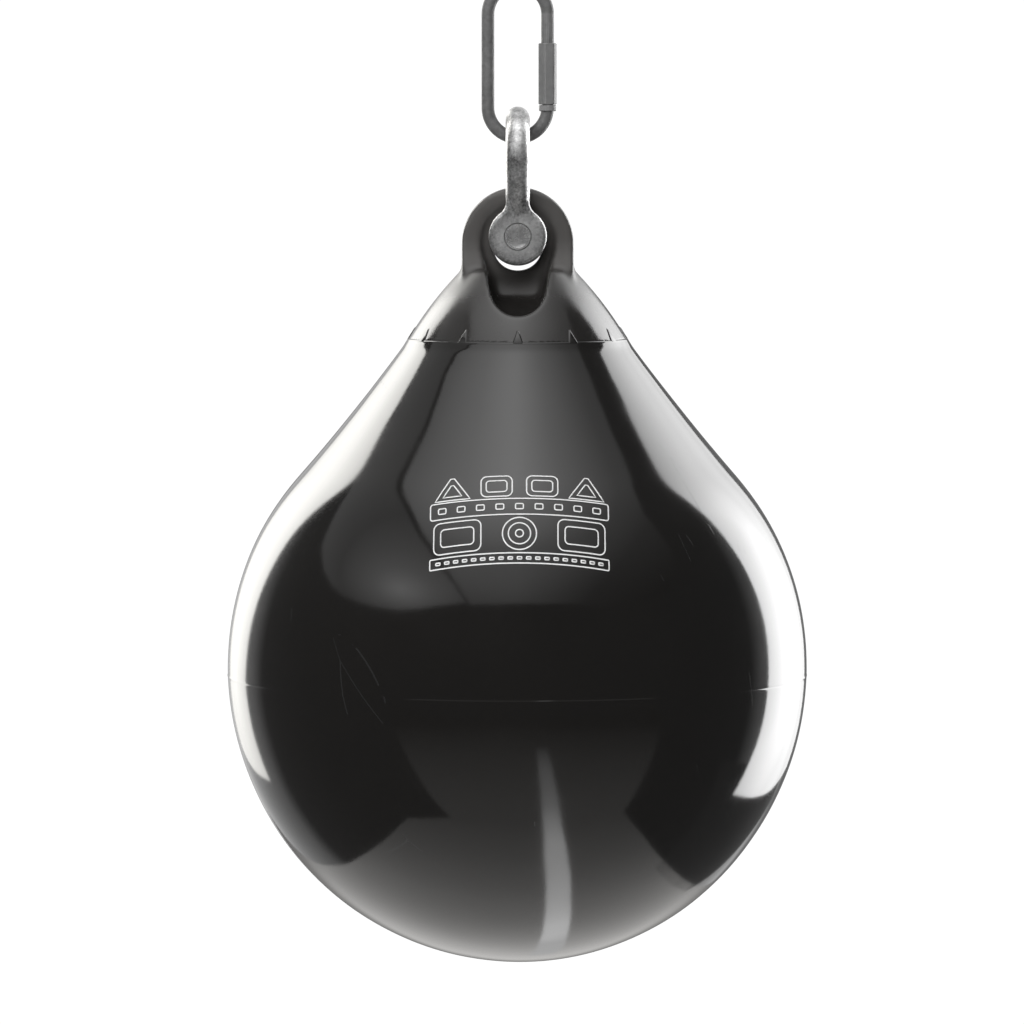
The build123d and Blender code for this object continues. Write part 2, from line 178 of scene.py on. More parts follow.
# %% World
WHITE_SEEN = 1.05  # a little over white, so that the ground stays clean
world = bpy.data.worlds.new("studio")
bpy.context.scene.world = world
world.use_nodes = True
tree = world.node_tree
tree.nodes.clear()
direction = put(tree, "ShaderNodeTexCoord").outputs["Generated"]
BEHIND_TURN = math.radians(8.0)  # the grey part stands a little to the right
STRAIGHT_BEHIND = (math.sin(BEHIND_TURN), math.cos(BEHIND_TURN), 0.0)
backness = put(tree, "ShaderNodeVectorMath", {0: direction, 1: STRAIGHT_BEHIND}, operation="DOT_PRODUCT")
behind = ramp(
    tree,
    math_node(tree, "MULTIPLY_ADD", backness.outputs["Value"], 0.5),
    [(0.0, 0.10), (0.7, 0.12), (0.76, 0.5), (0.93, 0.8), (0.972, 0.8), (0.985, 0.22), (1.0, 0.22)],
)
seen = put(tree, "ShaderNodeBackground", {"Color": (1, 1, 1, 1), "Strength": WHITE_SEEN})
around = put(tree, "ShaderNodeBackground", {"Color": behind, "Strength": 1.0})
path = put(tree, "ShaderNodeLightPath")
mixed = put(
    tree,
    "ShaderNodeMixShader",
    {0: path.outputs["Is Camera Ray"], 1: around.outputs[0], 2: seen.outputs[0]},
)
put(tree, "ShaderNodeOutputWorld", {"Surface": mixed.outputs[0]})
bpy.context.scene.view_settings.view_transform = "Standard"
print("the world is grey", round(math.degrees(BEHIND_TURN)), "degrees right of straight behind")

# %% [markdown]
# A sheet is a flat face that glows, brightest at one point and dimmer away from it, as a softbox is. It shows
# in reflections only. The two overhead sheets have rounded outlines, because a straight edge would draw a
# hard corner on the bag's shoulder.


# %% Bright sheets
def glow_panel(name, corners, core, levels, tint=(1.0, 1.0, 1.0), fade=None):
    """A flat bright sheet that shows only in reflections.

    levels are (distance from core in metres, brightness) pairs, from the core outwards. fade is a list of
    (x in metres, share of the brightness) pairs that dims the sheet towards +X.
    """
    mesh = bpy.data.meshes.new(name)
    mesh.from_pydata(corners, [], [list(range(len(corners)))])
    panel = bpy.data.objects.new(name, mesh)
    bpy.context.collection.objects.link(panel)
    material = bpy.data.materials.new(name)
    material.use_nodes = True
    tree = material.node_tree
    tree.nodes.clear()
    spot = put(tree, "ShaderNodeTexCoord").outputs["Object"]
    away = put(tree, "ShaderNodeVectorMath", {0: spot, 1: core}, operation="DISTANCE").outputs["Value"]
    reach, peak = levels[-1][0], max(level for _, level in levels)
    share = math_node(tree, "DIVIDE", away, reach)
    glow = ramp(tree, share, [(place / reach, level / peak) for place, level in levels])
    strength = math_node(tree, "MULTIPLY", glow, peak)
    if fade:
        x = put(tree, "ShaderNodeSeparateXYZ", {"Vector": spot}).outputs["X"]
        share = math_node(tree, "DIVIDE", x, fade[-1][0])
        dim = ramp(tree, share, [(place / fade[-1][0], level) for place, level in fade])
        strength = math_node(tree, "MULTIPLY", strength, dim)
    emit = put(tree, "ShaderNodeEmission", {"Color": (*tint, 1.0), "Strength": strength})
    put(tree, "ShaderNodeOutputMaterial", {"Surface": emit.outputs[0]})
    mesh.materials.append(material)
    panel.visible_camera = panel.visible_diffuse = panel.visible_shadow = False
    print(name, "peak", peak)


OVERHEAD_Z = 1.0
right_roof = [(-1.0, -2.75), (0.5, -2.8), (1.9, -2.6), (2.7, -2.0), (2.9, -1.2), (2.2, -0.5)]
right_roof += [(1.25, -0.25), (1.0, 0.0), (1.0, 0.5), (-1.0, 0.5)]
left_roof = [(-1.06, 0.9), (-2.6, 0.7), (-3.2, 0.3), (-3.6, -0.2), (-3.75, -0.8), (-3.65, -1.4)]
left_roof += [(-3.35, -1.95), (-2.9, -2.35), (-2.3, -2.55), (-1.6, -2.6), (-1.06, -2.65)]
glow_panel(
    "overhead_right",
    [(x, y, OVERHEAD_Z) for x, y in right_roof],
    (-0.06, -0.42, OVERHEAD_Z),
    [(0.0, 3.2), (0.18, 2.8), (0.4, 2.2), (0.65, 1.75), (0.95, 1.2), (1.5, 1.0), (2.2, 0.7), (3.5, 0.5)],
    fade=[(0.0, 1.0), (0.5, 0.75), (0.95, 0.5), (1.4, 0.26), (2.9, 0.14)],
)
glow_panel(
    "overhead_left",
    [(x, y, OVERHEAD_Z) for x, y in left_roof],
    (-2.1, -1.7, OVERHEAD_Z),
    [(0.0, 2.0), (0.35, 1.55), (0.7, 1.1), (1.1, 0.8), (1.7, 0.45), (2.4, 0.6)],
)
SIDE = 1.75
glow_panel(
    "right_wall",
    [(SIDE, 0.72, -1.6), (SIDE, 5.0, -1.6), (SIDE, 5.0, 2.3), (SIDE, 0.72, 2.3)],
    (SIDE, 0.72, -0.2),
    [(0.0, 8.0), (1.0, 7.2), (1.8, 4.2), (3.0, 2.4), (5.0, 1.8)],
)
glow_panel(
    "left_wall",
    [(-SIDE, 1.72, -1.47), (-SIDE, 0.9, 2.1), (-SIDE, 5.0, 2.1), (-SIDE, 5.0, -1.47)],
    (-SIDE, 0.95, 1.4),
    [(0.0, 7.8), (1.0, 7.2), (2.2, 4.5), (3.5, 2.6), (5.0, 1.8)],
    (1.0, 0.99, 0.955),
)

# %% [markdown]
# Three more sheets lie low. One is a run of white paper under the bag, about 2 m wide, which flares out and
# fades towards the camera; its glow, brightest at one point behind the bag, is a painted pool of light on the
# floor, seen in reflections. One is a plain strip light laid along it, a little to the right, which draws a
# soft streak down the belly. The last is a piece of dark floor at the right. All three are flat shapes.

# %% Low sheets
LOW_Z = -1.69
STRIP_LIFT = 0.01  # so that the strip light lies on the paper, not in it
paper_light_pool = [(4.0, -2.4), (0.9, -0.7), (0.8, 5.0), (-1.3, 5.0), (-0.9, -0.6), (-0.55, -0.85), (-4.0, -3.2)]
paper_light_pool += [(-4.6, -3.9), (4.6, -3.9)]
strip_light = [(0.3, -2.4), (0.5, -2.4), (0.14, 1.4), (0.04, 1.4)]
dark_floor = [(0.8, 0.2), (0.8, 1.3), (1.6, 4.2), (2.6, 4.2), (2.6, 0.2)]
# The paper's glow, brightest behind the bag and fading outwards, is a painted pool of light.
glow_panel(
    "paper_light_pool",
    [(x, y, LOW_Z) for x, y in paper_light_pool],
    (-0.1, 1.0, LOW_Z),
    [(0.0, 1.5), (1.0, 1.15), (1.5, 0.72), (1.9, 0.47), (2.6, 0.34), (3.4, 0.22), (4.6, 0.1)],
    (1.0, 0.985, 0.965),
)
glow_panel(
    "strip_light",
    [(x, y, LOW_Z + STRIP_LIFT) for x, y in strip_light],
    (0.1, -0.15, LOW_Z),
    [(0.0, 4.3), (0.5, 3.9), (0.75, 2.9), (0.95, 1.9), (1.2, 1.5), (1.55, 1.2), (2.3, 0.3)],
)
glow_panel(
    "dark_floor",
    [(x, y, LOW_Z) for x, y in dark_floor],
    (1.3, 1.2, LOW_Z),
    [(0.0, 0.12), (1.5, 0.15), (3.0, 0.25)],
)

# %% [markdown]
# The sheets light nothing, because they would flood the matt things. Two ordinary soft lights do that: one
# in front for the cap and the print, one above for all that faces up. They in turn show in no reflection.


# %% Fill lights
def fill_light(name, centre, aim, size, radiance):
    """A rectangular soft light that faces a point. radiance is how bright its face is."""
    lamp = bpy.data.lights.new(name, "AREA")
    lamp.shape = "RECTANGLE"
    lamp.size, lamp.size_y = size
    lamp.energy = radiance * math.pi * size[0] * size[1]
    light = bpy.data.objects.new(name, lamp)
    bpy.context.collection.objects.link(light)
    light.location = centre
    light.rotation_euler = (Vector(aim) - Vector(centre)).to_track_quat("-Z", "Y").to_euler()
    light.visible_camera = light.visible_glossy = False
    print(name, "energy", round(lamp.energy, 1), "W")


fill_light("front_fill", (-1.2, -3.2, 1.2), (0.0, 0.0, -0.4), (3.0, 2.5), 6.0)
fill_light("top_fill", (0.0, 1.2, 2.6), (0.0, 0.4, -1.0), (3.0, 2.4), 1.5)

# %% [markdown]
# The floor is a plain pale disc about a metre below the bag. Its rim fades out, so that it has no horizon
# line against the white room. It is part of the stage. The paper sheet stands for it in reflections, with the
# floor's pool of light painted into its glow.

# %% Floor
FLOOR_Z = -1.7
FLOOR_RADIUS = 4.0


def make_floor():
    """A flat disc whose material turns clear towards its rim."""
    mesh = bpy.data.meshes.new("floor")
    shape = bmesh.new()
    bmesh.ops.create_circle(shape, cap_ends=True, segments=96, radius=FLOOR_RADIUS)
    shape.to_mesh(mesh)
    shape.free()
    floor = bpy.data.objects.new("floor", mesh)
    bpy.context.collection.objects.link(floor)
    floor.location = (0.0, 0.0, FLOOR_Z)
    material = bpy.data.materials.new("pale_floor")
    material.use_nodes = True
    tree = material.node_tree
    tree.nodes.clear()
    spot = put(tree, "ShaderNodeTexCoord").outputs["Object"]
    distance = put(tree, "ShaderNodeVectorMath", {0: spot}, operation="LENGTH").outputs["Value"]
    share = math_node(tree, "DIVIDE", distance, FLOOR_RADIUS)
    cover = ramp(tree, share, [(0.0, 1.0), (0.3, 1.0), (0.6, 0.5), (0.9, 0.0)])
    speckle = put(tree, "ShaderNodeTexNoise", {"Vector": spot, "Scale": 9.0, "Detail": 5.0}).outputs["Fac"]
    shade = ramp(tree, speckle, [(0.3, 0.82), (0.7, 0.86)])
    paint = put(tree, "ShaderNodeBsdfPrincipled", {"Base Color": shade, "Roughness": 0.7, "Alpha": cover})
    put(tree, "ShaderNodeOutputMaterial", {"Surface": paint.outputs[0]})
    mesh.materials.append(material)
    floor.visible_glossy = False
    print("floor radius", FLOOR_RADIUS, "m")


make_floor()

# %% [markdown]
# ## Shared surface effects
# Each surface effect is a node group with named inputs and outputs, built once: fine grain, scuffs, and wear
# on raised edges. A group gives out values and masks only, and each material keeps its own shader. The
# grain is two sizes of noise, because a cast or forged surface has both a fine texture and broad blotches.


# %% Grain group
def new_group(name, inputs, outputs):
    """A shader node group with float inputs {name: default} and outputs {name: socket type}."""
    group = bpy.data.node_groups.new(name, "ShaderNodeTree")
    for label, default in inputs.items():
        kind = "NodeSocketVector" if default is None else "NodeSocketFloat"
        socket = group.interface.new_socket(name=label, in_out="INPUT", socket_type=kind)
        if default is not None:
            socket.default_value = default
    for label, kind in outputs.items():
        group.interface.new_socket(name=label, in_out="OUTPUT", socket_type=kind)
    start = group.nodes.new("NodeGroupInput")
    end = group.nodes.new("NodeGroupOutput")
    return group, start.outputs, end.inputs


def make_grain_group():
    """Two sizes of noise, mixed: a fine grain and a blotchy tone."""
    group, given, out = new_group(
        "fine_grain",
        {"Vector": None, "Grain Scale": 900.0, "Blotch Scale": 40.0, "Blotch Share": 0.4},
        {"Value": "NodeSocketFloat", "Blotch": "NodeSocketFloat"},
    )
    fine = put(
        group,
        "ShaderNodeTexNoise",
        {"Vector": given["Vector"], "Scale": given["Grain Scale"], "Detail": 4.0, "Roughness": 0.6},
    ).outputs["Fac"]
    blotch = put(
        group,
        "ShaderNodeTexNoise",
        {"Vector": given["Vector"], "Scale": given["Blotch Scale"], "Detail": 6.0, "Roughness": 0.65},
    ).outputs["Fac"]
    both = put(group, "ShaderNodeMix", {0: given["Blotch Share"], 2: fine, 3: blotch}, data_type="FLOAT")
    group.links.new(both.outputs[0], out["Value"])
    group.links.new(blotch, out["Blotch"])
    return group


grain_group = make_grain_group()
print("group", grain_group.name, "made")

# %% [markdown]
# A glossy skin gets long, fine scuffs where straps and gloves drag on it. The borders between stretched cells
# are thin, nearly straight lines, and a noise keeps them in a few patches.


# %% Scratch group
def make_scratch_group():
    """Sparse, thin, nearly straight scuffs, as a mask from 0 to 1."""
    group, given, out = new_group(
        "scuffs",
        {"Vector": None, "Scale": 9.0, "Stretch": 7.0, "Width": 0.008, "Amount": 0.1},
        {"Mask": "NodeSocketFloat"},
    )
    turned = put(group, "ShaderNodeMapping", {"Vector": given["Vector"], "Rotation": (0.25, 0.5, 0.0)})
    stretch = put(group, "ShaderNodeCombineXYZ", {"X": given["Stretch"], "Y": given["Stretch"], "Z": 1.0})
    thin = put(
        group, "ShaderNodeVectorMath", {0: turned.outputs[0], 1: stretch.outputs[0]}, operation="MULTIPLY"
    )
    cells = put(
        group,
        "ShaderNodeTexVoronoi",
        {"Vector": thin.outputs[0], "Scale": given["Scale"]},
        feature="DISTANCE_TO_EDGE",
    )
    close = math_node(group, "LESS_THAN", cells.outputs["Distance"], given["Width"])
    patch = put(group, "ShaderNodeTexNoise", {"Vector": given["Vector"], "Scale": 13.0, "Detail": 4.0})
    least = math_node(group, "SUBTRACT", 0.75, given["Amount"])
    here = math_node(group, "GREATER_THAN", patch.outputs["Fac"], least)
    group.links.new(math_node(group, "MULTIPLY", close, here), out["Mask"])
    return group


scratch_group = make_scratch_group()
print("group", scratch_group.name, "made")

# %% [markdown]
# Plating and paint rub off on raised edges first. The surface's pointiness finds those, and a noise breaks
# the wear up into chips.


# %% Edge wear group
def make_edge_group():
    """A mask that is high on raised edges, from the surface's pointiness, broken up by noise."""
    group, given, out = new_group(
        "edge_wear",
        {"Vector": None, "Low": 0.52, "High": 0.58, "Break Up": 0.5},
        {"Mask": "NodeSocketFloat"},
    )
    shape = put(group, "ShaderNodeNewGeometry").outputs["Pointiness"]
    sharp = put(
        group,
        "ShaderNodeMapRange",
        {"Value": shape, "From Min": given["Low"], "From Max": given["High"]},
    ).outputs["Result"]
    chips = put(group, "ShaderNodeTexNoise", {"Vector": given["Vector"], "Scale": 160.0, "Detail": 5.0})
    broken = math_node(group, "MULTIPLY_ADD", chips.outputs["Fac"], given["Break Up"])
    group.links.new(math_node(group, "MULTIPLY", sharp, broken, clamp=True), out["Mask"])
    return group


edge_group = make_edge_group()
print("groups:", [g.name for g in bpy.data.node_groups])

# %% [markdown]
# A material starts the same way each time: an empty tree, the piece's own coordinates, a shader and an
# output. The first helper returns them. The others place a group, mix two colours and add a bump.


# %% Material helpers
def new_material(name, **values):
    """A material with a Principled shader; values are set on the shader's own sockets."""
    material = bpy.data.materials.new(name)
    material.use_nodes = True
    tree = material.node_tree
    tree.nodes.clear()
    shader = put(tree, "ShaderNodeBsdfPrincipled", {k.replace("_", " "): v for k, v in values.items()})
    put(tree, "ShaderNodeOutputMaterial", {"Surface": shader.outputs[0]})
    where = put(tree, "ShaderNodeTexCoord").outputs["Object"]
    return material, tree, shader, where


def use_group(tree, group, inputs):
    """Places a node group in a material's tree."""
    node = tree.nodes.new("ShaderNodeGroup")
    node.node_tree = group
    for name, value in inputs.items():
        if isinstance(value, bpy.types.NodeSocket):
            tree.links.new(value, node.inputs[name])
        else:
            node.inputs[name].default_value = value
    return node.outputs


def blend_colour(tree, mask, low, high):
    """Mixes two colours or sockets by a mask."""
    return put(tree, "ShaderNodeMix", {0: mask, 6: low, 7: high}, data_type="RGBA").outputs[2]


def bump(tree, shader, height, strength, distance):
    """Feeds a height into the shader's normal."""
    node = put(tree, "ShaderNodeBump", {"Height": height, "Strength": strength, "Distance": distance})
    tree.links.new(node.outputs["Normal"], shader.inputs["Normal"])


# %% [markdown]
# ## Glossy vinyl
# The skin is soft PVC cast inside a polished mould, so it mirrors the room almost like lacquer, with long
# waves where the wall shrank unevenly as it cooled. Its colour is a black that is faintly brown. The sheen
# is broken by a little haze and a few scuffs from use. The waves are real geometry further down; here come
# the haze, the scuffs and a very fine moulding grain.


# %% Skin material
def make_skin_material():
    material, tree, shader, where = new_material("gloss_vinyl", IOR=1.52, Specular_IOR_Level=0.5)
    grain = use_group(tree, grain_group, {"Vector": where, "Grain Scale": 420.0, "Blotch Scale": 7.0})
    scuffs = use_group(tree, scratch_group, {"Vector": where, "Scale": 5.0, "Amount": 0.085})["Mask"]
    body = blend_colour(tree, grain["Blotch"], grey(24, (1.08, 1.0, 0.94)), grey(31, (1.1, 1.0, 0.92)))
    colour = blend_colour(tree, scuffs, body, grey(42))
    tree.links.new(colour, shader.inputs["Base Color"])
    haze = ramp(tree, grain["Blotch"], [(0.35, 0.06), (0.7, 0.12)])
    rough = math_node(tree, "MULTIPLY_ADD", scuffs, 0.15)
    tree.links.new(haze, rough.node.inputs[2])
    tree.links.new(rough, shader.inputs["Roughness"])
    bump(tree, shader, grain["Value"], 0.05, 0.0004)
    return material


skin_material = make_skin_material()
print("material", skin_material.name, "made")

# %% [markdown]
# ## The bag's skin
# The skin is a turned shape, so it is a profile and a Screw modifier. The profile is a closed loop: down the
# outside, through the bottom, and up the inside, which gives the wall its thickness. The moulding line
# round the widest part is a few more points of the profile, and the upper edge ends in a thin lip that laps
# onto the cap. All is at its true height about the Z axis already, so the modifiers can stay live.

# %% Skin profile
SEAM_Z = EQUATOR_Z - 7.0 * MM
SEAM_HEIGHT, SEAM_HALF = 0.45 * MM, 0.3 * MM
LIP_PROUD, LIP_LENGTH = 0.7 * MM, 5 * MM


def outline_heights():
    """Heights down the outside of the bag, closer together at the lip and at the moulding line."""
    lip = [LAP_Z, LAP_Z - 1.0 * MM, LAP_Z - 2.5 * MM, LAP_Z - LIP_LENGTH]
    flank = [LAP_Z + (BALL_TOP_Z - LAP_Z) * i / 12 for i in range(1, 12)]
    ball = [EQUATOR_Z + BAG_RADIUS * math.sin(FLANK_START * (1 - i / 14)) for i in range(14)]
    seam = [EQUATOR_Z, EQUATOR_Z - 3.5 * MM] + [SEAM_Z + step * MM for step in (2.0, 0.7, 0.0, -0.7, -2.0)]
    depth = EQUATOR_Z - BAG_LOW
    belly = [EQUATOR_Z - depth * math.sin(math.radians(a)) for a in range(4, 88, 3)]
    return lip + flank + ball + seam + belly


def proud(z):
    """How far the lip or the moulding line stands out of the smooth outline at height z."""
    lip = LIP_PROUD * max(0.0, 1 - (LAP_Z - z) / LIP_LENGTH) if z <= LAP_Z else 0.0
    seam = SEAM_HEIGHT if abs(z - SEAM_Z) < SEAM_HALF else 0.0
    return lip + seam


def link_object(name, mesh):
    """Adds a mesh to the scene as an object at the origin, shaded smooth."""
    thing = bpy.data.objects.new(name, mesh)
    bpy.context.collection.objects.link(thing)
    for face in mesh.polygons:
        face.use_smooth = True
    return thing


def profile_mesh(name, points):
    """An open chain of edges in the XZ plane, from (radius, height) points."""
    mesh = bpy.data.meshes.new(name)
    edges = [(i, i + 1) for i in range(len(points) - 1)]
    mesh.from_pydata([(r, 0.0, z) for r, z in points], edges, [])
    return mesh


LIP = [(-0.5, 2.0), (0.25, 1.7), (0.62, 1.0), (0.74, 0.4)]  # (out of the shoulder, up it) in mm
KEY_LEAN = math.radians(31.8)  # how far the shoulder leans in at the lap


def on_shoulder(out, up):
    """Radius and height of a point out of the cap's shoulder and up along it, from the lap."""
    radius = LAP_RADIUS - up * math.sin(KEY_LEAN) + out * math.cos(KEY_LEAN)
    height = LAP_Z + up * math.cos(KEY_LEAN) + out * math.sin(KEY_LEAN)
    return radius, height


outside = [on_shoulder(out * MM, up * MM) for out, up in LIP]
outside += [(bag_radius(z) + proud(z), z) for z in outline_heights()]
inner_heights = [BAG_LOW + SKIN_WALL + (LAP_Z - BAG_LOW - SKIN_WALL) * i / 16 for i in range(1, 17)]
inside = [(bag_radius(z, SKIN_WALL), z) for z in inner_heights]
skin_points = outside + [(0.0, BAG_LOW), (0.0, BAG_LOW + SKIN_WALL)] + inside + [outside[0]]
print("skin profile has", len(skin_points), "points")

# %% [markdown]
# Screw turns the profile and Subdivision rounds it. Two Displace modifiers with soft cloud textures then make
# the long waves and faint ripples of a wall that shrank unevenly in its mould. A vertex group holds the lip
# still, so that it stays on the cap.

# %% Turn the skin
ROUND_STEPS = 128
WAVE_HEIGHT, WAVE_SIZE = 1.6 * MM, 0.19
RIPPLE_HEIGHT, RIPPLE_SIZE = 0.28 * MM, 0.055
FREE_FROM, FREE_OVER = LAP_Z - 2 * MM, 16 * MM  # where the waves start, and how slowly they grow


def add_screw(thing, steps):
    """Turns a profile about the Z axis into a closed, smooth surface."""
    turn = thing.modifiers.new("turn", "SCREW")
    turn.steps = turn.render_steps = steps
    turn.use_merge_vertices = True
    turn.merge_threshold = 0.02 * MM
    turn.use_smooth_shade = True
    turn.use_normal_calculate = True


def cloud_texture(name, scale):
    """A soft cloud pattern for a Displace modifier. scale is the size of its lumps in metres."""
    clouds = bpy.data.textures.new(name, "CLOUDS")
    clouds.noise_scale = scale
    clouds.noise_depth = 1
    return clouds


waves = cloud_texture("moulding_waves", WAVE_SIZE)
ripples = cloud_texture("moulding_ripples", RIPPLE_SIZE)


def add_waves(thing, group=""):
    """The slow waves and faint ripples of a cast wall: the same on every piece that lies on the skin."""
    for name, texture, strength in (("waves", waves, WAVE_HEIGHT), ("ripples", ripples, RIPPLE_HEIGHT)):
        wave = thing.modifiers.new(name, "DISPLACE")
        wave.texture = texture
        wave.texture_coords = "LOCAL"
        wave.strength = strength
        wave.mid_level = 0.5
        wave.vertex_group = group


skin = link_object("bag_skin_cast", profile_mesh("bag_skin_cast", skin_points))
skin.data.materials.append(skin_material)
free = skin.vertex_groups.new(name="free")
for vertex in skin.data.vertices:
    free.add([vertex.index], max(0.0, min(1.0, (FREE_FROM - vertex.co.z) / FREE_OVER)), "REPLACE")
add_screw(skin, ROUND_STEPS)
smooth = skin.modifiers.new("smooth", "SUBSURF")
smooth.levels = smooth.render_levels = 1
add_waves(skin, "free")
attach(skin, "bag")
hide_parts("bag_skin")
print("the skin has", [modifier.name for modifier in skin.modifiers])

# %% [markdown]
# ## The keys
# The skin is locked to the eye cap by a ring of pointed keys along its edge. One key is a low, narrow wedge
# with sloping sides, tilted to lie on the cap's shoulder, and it is repeated round the axis. The slopes draw
# the double outline that such a moulded key has in the light. A small Bevel takes the sharpness off.

# %% Keys
KEY_COUNT = 12
KEY_HEIGHT = 15.0 * MM
KEY_BASE = 11.5 * MM
KEY_SINK = 1.0 * MM
KEY_PROUD = 0.75 * MM
KEY_SLOPE = 2.2 * MM
KEY_BLUNT, CREST_BLUNT = 0.9 * MM, 0.3 * MM  # half widths of the cut-off point, at the foot and on top


def key_point(index, across, up, out):
    """A point of a key: across and up on the shoulder, and out of it."""
    turn = 2 * math.pi * index / KEY_COUNT - math.pi / 2
    radius, height = on_shoulder(out, up)
    return (
        radius * math.cos(turn) - across * math.sin(turn),
        radius * math.sin(turn) + across * math.cos(turn),
        height,
    )


def add_wedge(shape, index, base, height, sink, proud, slope):
    """Adds one key to a mesh, slope wider at its foot than on top. Its point is cut off a little blunt."""
    foot = [(-base / 2, 0.0), (base / 2, 0.0), (KEY_BLUNT, height), (-KEY_BLUNT, height)]
    peak = height - 2 * slope
    crest = [(slope - base / 2, 0.0), (base / 2 - slope, 0.0), (CREST_BLUNT, peak), (-CREST_BLUNT, peak)]
    low = [shape.verts.new(key_point(index, a, u, -sink)) for a, u in foot]
    high = [shape.verts.new(key_point(index, a, u, proud)) for a, u in crest]
    shape.faces.new(high)
    shape.faces.new(low[::-1])
    for i in range(4):
        j = (i + 1) % 4
        shape.faces.new((low[i], low[j], high[j], high[i]))


def make_keys():
    shape = bmesh.new()
    for index in range(KEY_COUNT):
        add_wedge(shape, index, KEY_BASE, KEY_HEIGHT, KEY_SINK, KEY_PROUD, KEY_SLOPE)
    bmesh.ops.recalc_face_normals(shape, faces=shape.faces[:])
    mesh = bpy.data.meshes.new("skin_keys")
    shape.to_mesh(mesh)
    shape.free()
    keys = link_object("skin_keys", mesh)
    keys.data.materials.append(skin_material)
    soften = keys.modifiers.new("soften", "BEVEL")
    soften.width = 0.5 * MM
    soften.segments = 2
    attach(keys, "bag")
    return keys


keys = make_keys()
print("keys:", KEY_COUNT, "faces", len(keys.data.polygons))

# %% [markdown]
# ## The printed mark
# A printed mark fills the front, in thin white line work: rows of plain triangles, bars and a target, which
# bow up a little because a flat print was laid on a slope. It is drawn flat, as strips of faces, and each
# corner is carried onto the bag: its height above the centre is walked along the side's slope, and its
# distance from the middle is turned round the axis. The skin's Displace modifiers are repeated on it, so
# the ink follows every wave, and Solidify gives the film its thickness.

# %% Carry a flat drawing onto the bag
MARK_Z = -407.0 * MM
MARK_X = 1.2 * MM
MARK_BOW = 7.5 * MM
MARK_TALL = 1.06  # stretch up the side
MARK_HALF = 70.0 * MM
INK_LIFT = 0.12 * MM
INK_THICK = 0.16 * MM
LINE = 1.0 * MM
PROBE = 0.1 * MM


def side_slope(z):
    """How fast the bag's radius grows with height."""
    return (bag_radius(z + PROBE) - bag_radius(z - PROBE)) / (2 * PROBE)


def walk_up_the_side(distance, paces=24):
    """Height reached after a walk along the bag's side from the mark's centre."""
    z = MARK_Z
    for _ in range(paces):
        z += distance / paces / math.hypot(1, side_slope(z))
    return z


def onto_the_bag(across, up):
    """Where a point of the flat drawing lies on the front of the bag, just proud of it."""
    z = walk_up_the_side(up * MARK_TALL + MARK_BOW * (1 - (across / MARK_HALF) ** 2))
    lean = side_slope(z)
    slope = math.hypot(1, lean)
    radius = bag_radius(z) + INK_LIFT / slope
    turn = (across + MARK_X) / radius
    return (radius * math.sin(turn), -radius * math.cos(turn), z - INK_LIFT * lean / slope)


print("the mark's centre is at radius", round(bag_radius(MARK_Z), 4))

# %% [markdown]
# The mark is built from three plain outlines: circles, bars with rounded corners, and blunt triangles. Each
# outline is a closed path, and its line is a strip of faces along that path.


# %% Shapes of the mark
def circle_path(x, y, radius, corners=48):
    """Corners of a circle, in mm."""
    angles = [2 * math.pi * i / corners for i in range(corners)]
    return [(x + radius * math.cos(a), y + radius * math.sin(a)) for a in angles]


def bar_path(x, y, width, height, corner):
    """Corners of an upright bar with rounded corners, in mm."""
    path = []
    for sx, sy, start in ((1, 1, 0), (-1, 1, 90), (-1, -1, 180), (1, -1, 270)):
        for a in range(start, start + 91, 18):
            px = sx * (width / 2 - corner) + corner * math.cos(math.radians(a))
            py = sy * (height / 2 - corner) + corner * math.sin(math.radians(a))
            path.append((x + px, y + py))
    return path


def wedge_path(x, y, width, height, corner):
    """Corners of a triangle that points up, cut off a little blunt, in mm."""
    half, low, high = width / 2, y - height / 2, y + height / 2
    return [(x + half, low), (x + corner, high), (x - corner, high), (x - half, low)]


def line_pairs(path, longest=4.0):
    """Pairs of points either side of a closed path, in metres. Long runs are divided, to bend on the bag."""
    finer = []
    for i, start in enumerate(path):
        end = path[(i + 1) % len(path)]
        parts = max(1, math.ceil(math.dist(start, end) / longest))
        finer += [tuple(a + (b - a) * k / parts for a, b in zip(start, end)) for k in range(parts)]
    pairs = []
    for i, (x, y) in enumerate(finer):
        before, after = finer[i - 1], finer[(i + 1) % len(finer)]
        run = Vector((after[0] - before[0], after[1] - before[1])).normalized()
        side = Vector((run.y, -run.x)) * LINE / 2
        pairs.append(((x * MM + side.x, y * MM + side.y), (x * MM - side.x, y * MM - side.y)))
    return pairs


# %% Lay out the mark
TOP_ROW, BANNER, MIDDLE_ROW, FOOT_ROW = 26.5, 8.5, -14.0, -33.5  # heights in mm
BANNER_WIDTH = 139.0

drawing = []
for x in (-52.0, 52.0):
    drawing += [wedge_path(x, TOP_ROW, 28.0, 19.0, 1.5), wedge_path(x, TOP_ROW - 1.5, 15.0, 10.0, 1.0)]
for x in (-17.5, 17.5):
    drawing += [bar_path(x, TOP_ROW, 24.0, 18.0, 4.5), bar_path(x, TOP_ROW, 16.0, 10.0, 2.5)]
drawing.append(bar_path(0.0, BANNER, BANNER_WIDTH, 13.5, 2.0))
drawing += [bar_path(15.0 * i, BANNER, 6.0, 4.5, 1.0) for i in range(-4, 5)]
for x in (-48.0, 48.0):
    drawing += [bar_path(x, MIDDLE_ROW, 37.0, 25.0, 5.0), bar_path(x, MIDDLE_ROW, 26.0, 14.0, 3.0)]
drawing += [circle_path(0.0, MIDDLE_ROW, radius) for radius in (13.0, 8.5, 3.0)]
drawing.append(bar_path(0.0, FOOT_ROW, BANNER_WIDTH, 8.0, 1.0))
drawing += [bar_path(7.0 * i, FOOT_ROW, 3.4, 1.8, 0.4) for i in range(-9, 10)]
print("the mark has", len(drawing), "lines")


